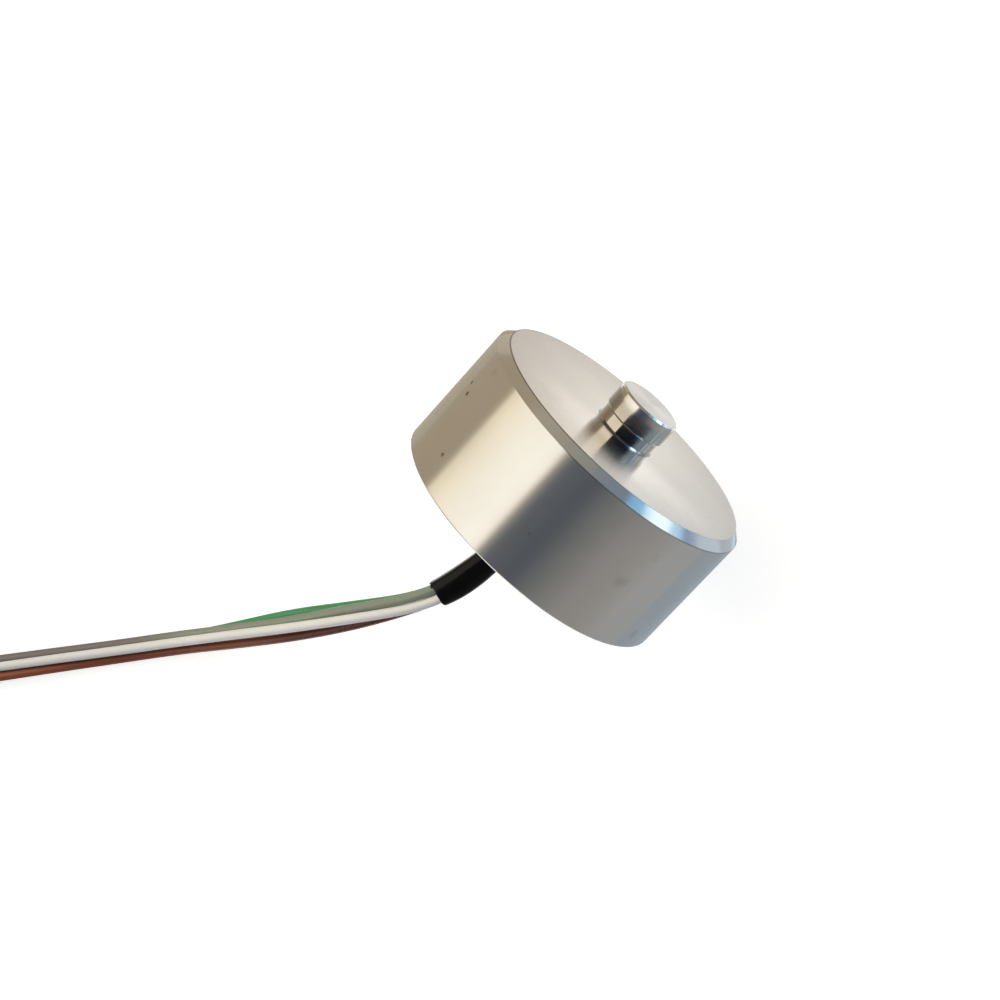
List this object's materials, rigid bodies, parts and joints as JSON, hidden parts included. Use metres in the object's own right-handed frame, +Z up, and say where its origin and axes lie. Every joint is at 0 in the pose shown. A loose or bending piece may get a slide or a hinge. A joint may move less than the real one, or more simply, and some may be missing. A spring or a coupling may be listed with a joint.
{
  "type": "miniature load cell",
  "caption": "Small stainless steel button load cell: a short chamfered cylinder with a central load button, and fine coloured leads in a shrink sleeve from its base.",
  "frame": {"origin": "centre of the base seat, on the load axis", "axes": "+X along the load axis out of the load button, +Z up, with the cell lying on its side on a surface half a body diameter below the origin"},
  "size_m": [0.0423, 0.0225, 0.01],
  "materials": {
    "stainless_body": "fine turned and polished stainless steel",
    "stainless_cover": "turned stainless steel",
    "epoxy": "black potting epoxy",
    "sleeve": "glossy black heat-shrink",
    "lead_black": "smooth fluoropolymer insulation",
    "lead_white": "smooth fluoropolymer insulation",
    "lead_green": "smooth fluoropolymer insulation",
    "lead_red": "smooth fluoropolymer insulation",
    "lead_coil": "four coiled leads",
    "tie": "thin tape band",
    "tinned_copper": "tinned copper strands",
    "board": "glass-fibre laminate",
    "copper": "copper pad",
    "solder": "bright solder",
    "chip": "chip resistor",
    "enamelled_wire": "enamelled copper",
    "polyimide": "polyimide film",
    "foil": "etched constantan foil",
    "coating": "clear protective coat"
  },
  "bodies": {
    "root": {"spring_body": "stainless_body", "base_cover": "stainless_cover", "exit_bead": "epoxy", "shrink_sleeve": "sleeve", "lead_black": "lead_black", "lead_white": "lead_white", "lead_green": "lead_green", "lead_red": "lead_red", "lead_coil": "lead_coil", "coil_tie": "tie", "tinned_tips": "tinned_copper", "lead_cores": "tinned_copper", "terminal_board": "board", "terminal_pads": "copper", "board_solder": "solder", "gauge_solder": "solder", "balance_resistor": "chip", "span_resistor": "chip", "jumper_wire_1": "enamelled_wire", "jumper_wire_2": "enamelled_wire", "jumper_wire_3": "enamelled_wire", "jumper_wire_4": "enamelled_wire", "gauge_backing": "polyimide", "gauge_foil": "foil", "gauge_coating": "coating"}
  },
  "joints": []
}
